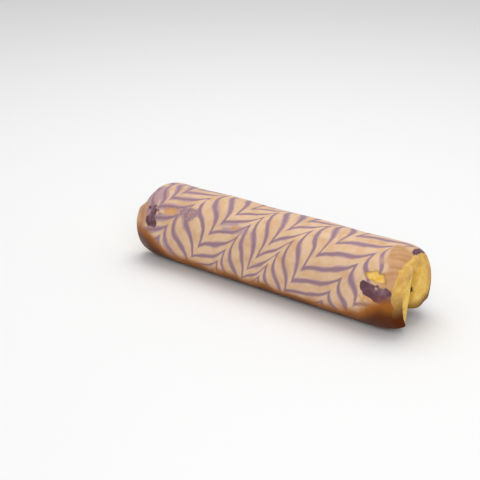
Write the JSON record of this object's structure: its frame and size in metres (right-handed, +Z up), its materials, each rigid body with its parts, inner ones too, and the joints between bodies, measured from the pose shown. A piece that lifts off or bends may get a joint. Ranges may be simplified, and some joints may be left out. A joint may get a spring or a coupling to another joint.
{
  "type": "swiss roll cake",
  "caption": "Whole folded sponge roll with a feathered marbled skin, rounded ends and a chocolate filling that shows in the crack between its lobes.",
  "frame": {"origin": "on the surface the roll rests on, under the middle of its bounding box", "axes": "+X along the roll, +Z up, the marbled side shown is towards -Y"},
  "size_m": [0.2636, 0.0694, 0.0642],
  "materials": {
    "sponge_crumb": "peach and mauve marbled skin over open yellow sponge crumb, browned along the underside",
    "chocolate_filling": "glossy dark chocolate spread"
  },
  "bodies": {
    "root": {"sponge": "sponge_crumb", "filling": "chocolate_filling"}
  },
  "joints": []
}
